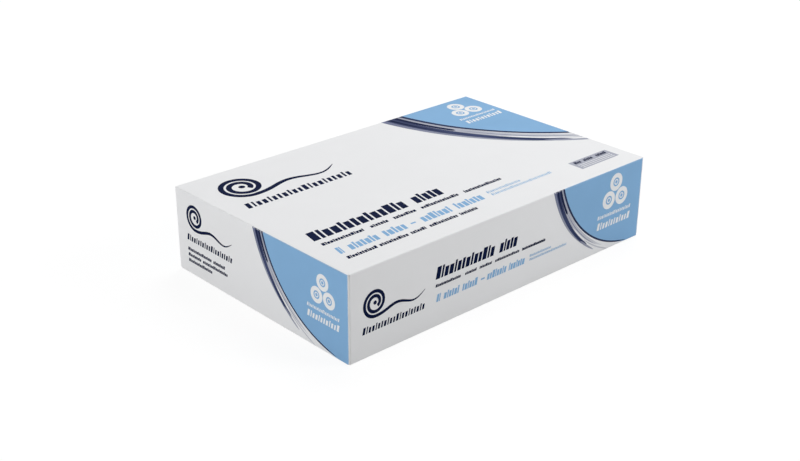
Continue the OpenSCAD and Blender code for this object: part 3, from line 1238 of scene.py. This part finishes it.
@dataclass(frozen=True)
class Graph:
    """A node tree that nodes are added to."""

    tree: bpy.types.NodeTree

    def feed(self, node: bpy.types.Node, inputs: Mapping[int | str, object]) -> bpy.types.Node:
        """Feeds a node's inputs.

        Args:
            node: The node.
            inputs: The socket or the plain value for each input, by its number or name.

        Returns:
            The same node.
        """
        for key, value in inputs.items():
            if isinstance(value, bpy.types.NodeSocket):
                self.tree.links.new(value, node.inputs[key])
            else:
                node.inputs[key].default_value = value
        return node

    def add(self, kind: str, inputs: Mapping[int | str, object] | None = None) -> bpy.types.Node:
        """Adds a node, whose kind is its type's name without "ShaderNode", and feeds it."""
        return self.feed(self.tree.nodes.new("ShaderNode" + kind), inputs or {})

    def maths(self, operation: str, first: object, second: object = 0.0) -> bpy.types.NodeSocket:
        """One Math node.

        Args:
            operation: What it does.
            first: A socket or a number.
            second: A socket or a number.

        Returns:
            The result.
        """
        node = self.add("Math", {0: first, 1: second})
        node.operation = operation
        return node.outputs[0]

    def noise(self, place: bpy.types.NodeSocket, scale: float, detail: float) -> bpy.types.NodeSocket:
        """Noise over a piece's own coordinates, in metres."""
        return self.add("TexNoise", {"Vector": place, "Scale": scale, "Detail": detail}).outputs["Fac"]

    def stretch(self, value: bpy.types.NodeSocket, low: float, high: float, start: float = 0.3,
                end: float = 0.7) -> bpy.types.NodeSocket:
        """Values from start to end, which is where noise mostly lies, stretched to low and high."""
        return self.add("MapRange", {"Value": value, "From Min": start, "From Max": end,
                                     "To Min": low, "To Max": high}).outputs["Result"]

    def two_faced(self, light: bpy.types.Node, look: bpy.types.Node) -> bpy.types.NodeSocket:
        """Mixes two shaders by the kind of ray that meets them.

        Args:
            light: What gives light.
            look: What the camera sees, also off a gloss or through glass.

        Returns:
            The mixed shader.
        """
        ray = self.add("LightPath").outputs
        seen = self.maths("MAXIMUM", ray["Is Camera Ray"], ray["Is Glossy Ray"])
        seen = self.maths("MAXIMUM", seen, ray["Is Transmission Ray"])
        return self.add("MixShader", {0: seen, 1: light.outputs[0], 2: look.outputs[0]}).outputs[0]


@dataclass(frozen=True)
class Finish:
    """Printed or bare board as a procedural material.

    colour is linear, and half_thinned is an ink's colour where it has begun to thin out. gloss
    scales how much light the surface mirrors, mottle is how far the colour drifts in cloud-like
    patches, grain how deep the fibres show through, in millimetres, and scuff how far folds are
    lightened towards rub_and_highlight_colour: on the inks this is partly rubbed ink and partly a painted
    highlight along the folds, and on bare board it is only a painted highlight.
    """

    name: str
    colour: tuple[float, float, float]
    roughness: float
    gloss: float
    mottle: float
    grain: float
    rub_and_highlight: float
    half_thinned: tuple[float, float, float] | None = None
    # Whiter than the board: it paints a highlight along the folds, besides standing for rubbed ink
    rub_and_highlight_colour: tuple[float, float, float] = (0.90, 0.90, 0.91)

    def material(self) -> bpy.types.Material:
        """Builds the material, unless it is there already.

        Returns:
            The material.
        """
        known = bpy.data.materials.get(self.name)
        if known:
            return known
        material = bpy.data.materials.new(self.name)
        material.use_nodes = True
        graph = Graph(material.node_tree)
        place = graph.add("TexCoord").outputs["Object"]
        fibres = graph.noise(place, *FIBRES)
        drift = graph.stretch(graph.noise(place, *CLOUDS), 1.0 - self.mottle, 1.0 + self.mottle)
        tinted = graph.add("VectorMath")
        tinted.operation = "SCALE"
        graph.feed(tinted, {0: self._inked(graph), "Scale": drift})
        # Edges lightened towards rub_and_highlight_colour: rubbed ink, and a painted highlight along the
        # folds
        worn_and_lit = graph.add("Mix")
        worn_and_lit.data_type = "RGBA"
        graph.feed(worn_and_lit, {"Factor": self._rub_and_highlight_mask(graph, place, fibres), "A": tinted.outputs[0],
                          "B": (*self.rub_and_highlight_colour, 1.0)})
        bump = graph.add("Bump", {"Strength": 0.5, "Distance": self.grain * METRES, "Height": fibres})
        graph.feed(material.node_tree.nodes["Principled BSDF"], {
            "Base Color": worn_and_lit.outputs["Result"], "Normal": bump.outputs["Normal"],
            "Specular IOR Level": self.gloss, "IOR": VARNISH_IOR,
            "Roughness": graph.stretch(fibres, self.roughness - ROUGHNESS_DRIFT,
                                       self.roughness + ROUGHNESS_DRIFT)})
        return material

    def _inked(self, graph: Graph) -> bpy.types.NodeSocket:
        """The colour, thinned out by the mesh's "pale": through the half-thinned tone to bare board.

        Args:
            graph: The material's nodes.

        Returns:
            The colour.
        """
        pale = graph.add("Attribute")
        pale.attribute_name = "pale"
        ramp = graph.add("ValToRGB", {"Fac": pale.outputs["Fac"]})
        stops = ramp.color_ramp.elements
        stops[0].color = (*self.colour, 1.0)
        stops[1].color = (*BOARD_WHITE, 1.0)
        if self.half_thinned:
            stops.new(HALF_THINNED).color = (*self.half_thinned, 1.0)
        return ramp.outputs["Color"]

    def _rub_and_highlight_mask(self, graph: Graph, place: bpy.types.NodeSocket,
                   fibres: bpy.types.NodeSocket) -> bpy.types.NodeSocket:
        """How far a spot is rubbed: strongest on the carton's edges, broken up by the fibres.

        A point's depths under the three pairs of faces are half size - |coordinate|. The middle one
        of the three, max(min(a, b), min(max(a, b), c)), is its distance from the nearest edge.

        Args:
            graph: The material's nodes.
            place: The piece's own coordinates.
            fibres: The fibres' noise.

        Returns:
            The share of rub_and_highlight_colour, which is rubbed ink together with a painted highlight, from
            0 to scuff.
        """
        low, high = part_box("carton")
        half = [(b - a) / 2.0 for a, b in zip(low, high)]
        split = graph.add("SeparateXYZ", {0: place}).outputs
        ways = (split["X"], split["Y"], graph.maths("SUBTRACT", split["Z"], half[2]))
        a, b, c = (graph.maths("SUBTRACT", size, graph.maths("ABSOLUTE", way))
                   for size, way in zip(half, ways))
        depth = graph.maths("MAXIMUM", graph.maths("MINIMUM", a, b),
                            graph.maths("MINIMUM", graph.maths("MAXIMUM", a, b), c))
        near = graph.stretch(depth, self.rub_and_highlight, 0.0, RUBBED_AND_LIT[0] * METRES, RUBBED_AND_LIT[1] * METRES)
        return graph.maths("MULTIPLY", near, graph.stretch(fibres, 0.2, 1.0))


# The last number of each finish lightens its folds: partly rubbed ink, partly a painted highlight
BOARD = Finish("white_lined_board", BOARD_WHITE, 0.45, 0.06, 0.006, 0.03, 0.5)
RAW_EDGE = Finish("raw_board_edge", (0.87, 0.866, 0.858), 0.85, 0.03, 0.05, 0.10, 0.0)
BARE_MARK = Finish("bare_board_in_print", BOARD_WHITE, 0.45, 0.06, 0.006, 0.03, 0.0)
INKS = {
    Ink.BLUE: Finish("printed_light_blue", (0.250, 0.457, 0.710), 0.42, 0.02, 0.02, 0.03, 0.35),
    Ink.NAVY: Finish("printed_navy", (0.0045, 0.0098, 0.043), 0.42, 0.008, 0.06, 0.03, 0.25,
                     half_thinned=(0.104, 0.128, 0.250)),
    Ink.SILVER: Finish("printed_silver_grey", (0.40, 0.415, 0.49), 0.40, 0.06, 0.03, 0.03, 0.3),
}
INK_PIECES = {
    Ink.BLUE: ("blue_ink_layer", "blue_print", "blue_ink"),
    Ink.NAVY: ("navy_ink_layer", "navy_print", "navy_ink"),
    Ink.SILVER: ("silver_ink_layer", "grey_print", "grey_ink"),
}


# Studio


@dataclass(frozen=True)
class Lamp:
    """A square soft box that looks at the carton's middle, in metres and watts."""

    name: str
    place: tuple[float, float, float]
    size: float
    power: float

    def build(self, target: Vector) -> None:
        """Hangs the lamp.

        Args:
            target: The point that it looks at.
        """
        light = bpy.data.lights.new(self.name, "AREA")
        light.shape = "SQUARE"
        light.size = self.size
        light.energy = self.power
        lamp = bpy.data.objects.new(self.name, light)
        lamp.location = self.place
        lamp.rotation_euler = (target - Vector(self.place)).to_track_quat("-Z", "Y").to_euler()
        bpy.context.scene.collection.objects.link(lamp)


@dataclass(frozen=True)
class Studio:
    """White studio: an even sky, four soft boxes and a pale floor.

    sky is the light level of the sky and floor_grey the floor's colour as a light giver. The camera
    sees the floor as a white glow of floor_glow, mixed by floor_white with a floor that is lit.
    """

    sky: float = 0.198
    sky_colour: tuple[float, float, float, float] = (0.98, 0.99, 1.0, 1.0)
    floor_grey: float = 0.50
    floor_white: float = 0.88
    floor_glow: float = 1.03
    floor_size: float = 6.0
    lamps: tuple[Lamp, ...] = (
        Lamp("soft_box_over", (1.0, 0.5, 1.9), 1.2, 23.7),
        Lamp("soft_box_left", (-1.9, 0.1, 0.5), 0.9, 18.7),
        Lamp("soft_box_front", (1.4, -1.6, 1.0), 1.2, 31.6),
        Lamp("soft_box_back", (0.1, 2.0, 0.3), 0.6, 5.0),
    )

    def build(self) -> None:
        """Sets up the world, the lamps and the floor."""
        low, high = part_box("carton")
        for lamp in self.lamps:
            lamp.build((low + high) / 2.0)
        self._world()
        self._floor()
        bpy.context.scene.view_settings.view_transform = "Standard"

    def _world(self) -> None:
        """Gives light at the sky's level, and looks white."""
        world = bpy.data.worlds.new("studio_sky")
        bpy.context.scene.world = world
        world.use_nodes = True
        graph, nodes = Graph(world.node_tree), world.node_tree.nodes
        sky = graph.feed(nodes["Background"], {"Color": self.sky_colour, "Strength": self.sky})
        white = graph.add("Background", {"Color": WHITE})
        graph.feed(nodes["World Output"], {"Surface": graph.two_faced(sky, white)})

    def _floor(self) -> None:
        """Lays a pale floor that looks all but white, and keeps the carton's shadow."""
        half = self.floor_size / 2.0
        mesh = bpy.data.meshes.new("studio_floor")
        mesh.from_pydata([(-half, -half, 0.0), (half, -half, 0.0), (half, half, 0.0), (-half, half, 0.0)],
                         [], [(0, 1, 2, 3)])
        material = bpy.data.materials.new("studio_floor")
        material.use_nodes = True
        graph, nodes = Graph(material.node_tree), material.node_tree.nodes
        nodes.remove(nodes["Principled BSDF"])
        ground = graph.add("BsdfDiffuse", {"Color": (self.floor_grey,) * 3 + (1.0,)})
        pale = graph.add("BsdfDiffuse", {"Color": WHITE})
        glow = graph.add("Emission", {"Strength": self.floor_glow})
        look = graph.add("MixShader", {0: self.floor_white, 1: pale.outputs[0], 2: glow.outputs[0]})
        graph.feed(nodes["Material Output"], {"Surface": graph.two_faced(ground, look)})
        mesh.materials.append(material)
        floor = bpy.data.objects.new("studio_floor", mesh)
        bpy.context.scene.collection.objects.link(floor)


@dataclass(frozen=True)
class PhotoCamera:
    """Camera at the photograph's place, fitted to the carton's corners.

    lens and sensor are in millimetres, place and the range of clip in metres.
    """

    lens: float = 58.164
    sensor: float = 36.0
    clip: tuple[float, float] = (0.01, 50.0)
    place: tuple[float, float, float] = (-0.63706, -0.67392, 0.44775)
    right: tuple[float, float, float] = (0.73692, -0.67597, 0.00343)
    up: tuple[float, float, float] = (0.28208, 0.31211, 0.90720)

    def build(self) -> None:
        """Adds the camera and makes it the scene's."""
        data = bpy.data.cameras.new("photo_camera")
        data.lens, data.sensor_width = self.lens, self.sensor
        data.clip_start, data.clip_end = self.clip
        camera = bpy.data.objects.new("photo_camera", data)
        right, up = Vector(self.right).normalized(), Vector(self.up).normalized()
        turn = Matrix((right, up, right.cross(up))).transposed()
        camera.matrix_world = Matrix.Translation(self.place) @ turn.to_4x4()
        bpy.context.scene.collection.objects.link(camera)
        bpy.context.scene.camera = camera


def hand_over(piece: bpy.types.Object, node: str, slot: str) -> None:
    """Lets a finished piece ride with the carton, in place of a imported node.

    Args:
        piece: The finished piece.
        node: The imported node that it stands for.
        slot: The material slot that its finish belongs to.
    """
    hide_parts(node)
    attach(piece, "root")
    LOG.info("%s: %d faces, slot %s", piece.name, len(piece.data.polygons), slot)


def main() -> None:
    """Builds the carton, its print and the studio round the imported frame."""
    logging.basicConfig(level=logging.INFO, format="%(message)s")
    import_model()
    carton = Carton.from_box(*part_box("carton"))
    hand_over(write_piece("glued_sleeve", Sleeve(carton).shells(), (BOARD, RAW_EDGE)), "carton", "board")
    for side in (Side.LEFT, Side.RIGHT):
        flaps = EndClosure(carton, side).shells()
        hand_over(write_piece(f"{side.value}_end_flaps", flaps, (BOARD, RAW_EDGE)), "carton", "board")
    layers = PrintJob(carton).shells()
    for ink, (name, node, slot) in INK_PIECES.items():
        hand_over(write_piece(name, layers[ink], (INKS[ink],)), node, slot)
    hand_over(write_piece("bare_marks", layers[Ink.BARE], (BARE_MARK,)), "blue_print", "board")
    Studio().build()
    PhotoCamera().build()


if __name__ == "__main__":
    main()
